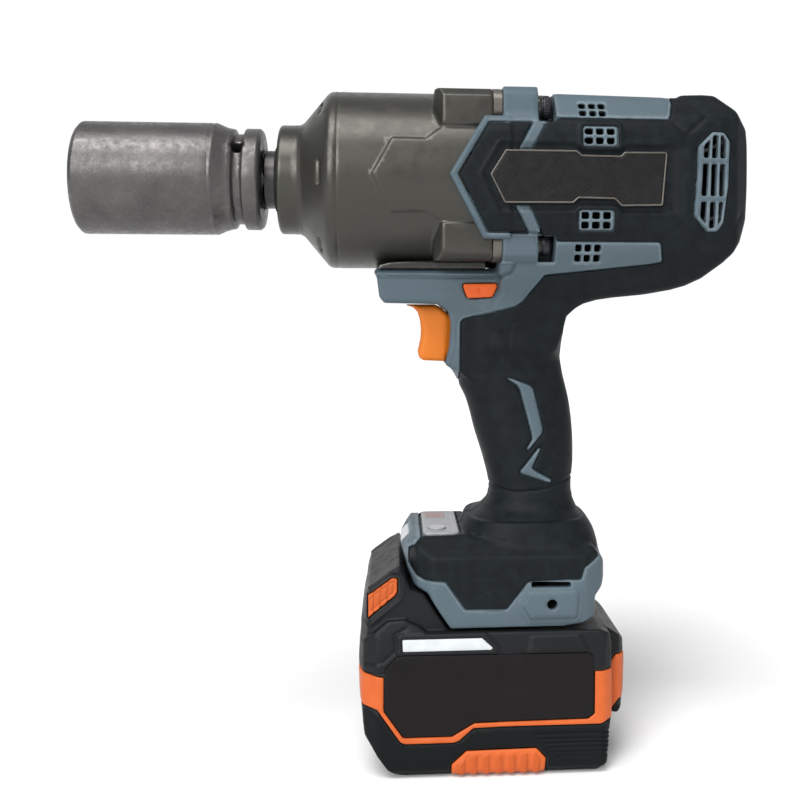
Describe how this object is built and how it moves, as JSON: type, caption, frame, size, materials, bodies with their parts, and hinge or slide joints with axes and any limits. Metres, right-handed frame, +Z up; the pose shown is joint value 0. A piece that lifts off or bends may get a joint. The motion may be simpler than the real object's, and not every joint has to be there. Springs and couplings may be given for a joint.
{
  "type": "cordless impact wrench",
  "caption": "Pistol-grip cordless impact wrench with a square drive holding a deep hex socket, a cast hammer case, a rubber-covered handle and a slide-on battery pack.",
  "frame": {"origin": "centre of the battery's flat underside", "axes": "+Z up, -X the way the drive end points, Y across the tool"},
  "size_m": [0.2851, 0.081, 0.2837],
  "materials": {
    "nylon_grey": "matte",
    "rubber_black": "matte",
    "case_alloy": "satin",
    "plate_grey": "matte",
    "socket_steel": "satin",
    "steel": "satin",
    "steel_dark": "satin",
    "bronze": "satin",
    "seal_rubber": "matte",
    "copper": "satin",
    "insulator": "matte",
    "magnet": "satin",
    "fan_plastic": "matte",
    "board_green": "satin",
    "plate_black": "satin",
    "orange_trigger": "matte",
    "orange_selector": "matte",
    "orange_bumper": "matte",
    "black_plastic": "matte",
    "grey_button": "satin",
    "lens": "gloss",
    "label_film": "satin",
    "cell_wrap": "satin",
    "nickel": "satin",
    "wire_sheath": "satin"
  },
  "bodies": {
    "tool": {"housing_left": "nylon_grey", "housing_right": "nylon_grey", "grip_left": "rubber_black", "grip_right": "rubber_black", "hammer_case": "case_alloy", "mount_plate": "plate_grey", "case_screws": "steel_dark", "nose_bushing": "bronze", "nose_seal": "seal_rubber", "housing_screws": "steel_dark", "nameplates": "plate_black", "gear_case": "black_plastic", "ring_gear": "steel", "carrier_bearing": "steel", "rotor_bearing_front": "steel", "rotor_bearing_rear": "steel", "stator": "steel", "windings": "copper", "stator_insulators": "insulator", "hall_board": "board_green", "trigger_switch": "black_plastic", "trigger_spring": "steel", "control_board": "board_green", "led_lens": "lens", "led_board": "board_green", "mode_panel": "black_plastic", "terminal_block": "black_plastic", "motor_leads": "wire_sheath"},
    "trigger": {"trigger": "orange_trigger"},
    "selector": {"direction_selector": "orange_selector"},
    "mode_button": {"mode_button": "grey_button"},
    "spindle": {"spindle": "steel", "planet_pins": "steel", "thrust_washer": "steel", "cam_balls": "steel", "hammer_spring": "steel"},
    "planet_a": {"planet_a": "steel"},
    "planet_b": {"planet_b": "steel"},
    "planet_c": {"planet_c": "steel"},
    "rotor": {"rotor_shaft": "steel", "rotor_core": "steel", "rotor_magnets": "magnet", "fan": "fan_plastic", "sun_pinion": "steel"},
    "hammer": {"hammer": "steel"},
    "anvil": {"anvil": "steel", "anvil_ring": "steel"},
    "socket": {"impact_socket": "socket_steel"},
    "battery": {"battery_base": "black_plastic", "battery_top": "black_plastic", "battery_bumper": "orange_bumper", "battery_labels": "label_film", "cells": "cell_wrap", "nickel_strips": "nickel", "bms_board": "board_green", "battery_terminals": "nickel", "latch_spring_left": "steel", "latch_spring_right": "steel"},
    "latch_left": {"latch_left": "orange_bumper"},
    "latch_right": {"latch_right": "orange_bumper"}
  },
  "joints": [
    {"name": "spindle_spin", "type": "hinge", "parent": "tool", "child": "spindle", "pos_m": [0, 0, 0.2455], "axis": [1, 0, 0], "continuous": true},
    {"name": "rotor_spin", "type": "hinge", "parent": "tool", "child": "rotor", "pos_m": [0.045, 0, 0.2455], "axis": [1, 0, 0], "continuous": true},
    {"name": "anvil_spin", "type": "hinge", "parent": "tool", "child": "anvil", "pos_m": [-0.075, 0, 0.2455], "axis": [1, 0, 0], "continuous": true},
    {"name": "hammer_slide", "type": "slide", "parent": "spindle", "child": "hammer", "axis": [1, 0, 0], "range_m": [0, 0.009], "stiffness_N_per_m": 15000, "springref_m": -0.006, "deforming": ["hammer_spring"]},
    {"name": "socket_pull", "type": "slide", "parent": "anvil", "child": "socket", "axis": [-1, 0, 0], "range_m": [0, 0.04]},
    {"name": "trigger_pull", "type": "slide", "parent": "tool", "child": "trigger", "axis": [1, 0, 0], "range_m": [0, 0.006], "stiffness_N_per_m": 900, "springref_m": -0.004, "deforming": ["trigger_spring"]},
    {"name": "selector_slide", "type": "slide", "parent": "tool", "child": "selector", "axis": [0, 1, 0], "range_m": [-0.003, 0.003]},
    {"name": "mode_press", "type": "slide", "parent": "tool", "child": "mode_button", "axis": [0, 0, -1], "range_m": [0, 0.0008], "stiffness_N_per_m": 1500, "springref_m": -0.0006},
    {"name": "battery_slide", "type": "slide", "parent": "tool", "child": "battery", "axis": [-1, 0, 0], "range_m": [0, 0.095]},
    {"name": "latch_left_press", "type": "slide", "parent": "battery", "child": "latch_left", "axis": [0, 1, 0], "range_m": [0, 0.0025], "stiffness_N_per_m": 900, "springref_m": -0.002, "deforming": ["latch_spring_left"]},
    {"name": "latch_right_press", "type": "slide", "parent": "battery", "child": "latch_right", "axis": [0, -1, 0], "range_m": [0, 0.0025], "stiffness_N_per_m": 900, "springref_m": -0.002, "deforming": ["latch_spring_right"]},
    {"name": "planet_a_spin", "type": "hinge", "parent": "spindle", "child": "planet_a", "pos_m": [0, 0.0135, 0.2455], "axis": [1, 0, 0], "continuous": true},
    {"name": "planet_b_spin", "type": "hinge", "parent": "spindle", "child": "planet_b", "pos_m": [0, -0.0067, 0.2572], "axis": [1, 0, 0], "continuous": true},
    {"name": "planet_c_spin", "type": "hinge", "parent": "spindle", "child": "planet_c", "pos_m": [0, -0.0068, 0.2338], "axis": [1, 0, 0], "continuous": true}
  ],
  "couplings": [
    {"joint": "rotor_spin", "follows": "spindle_spin", "ratio": 6},
    {"joint": "anvil_spin", "follows": "spindle_spin", "ratio": 1},
    {"joint": "planet_a_spin", "follows": "spindle_spin", "ratio": -2.5},
    {"joint": "planet_b_spin", "follows": "spindle_spin", "ratio": -2.5},
    {"joint": "planet_c_spin", "follows": "spindle_spin", "ratio": -2.5}
  ]
}
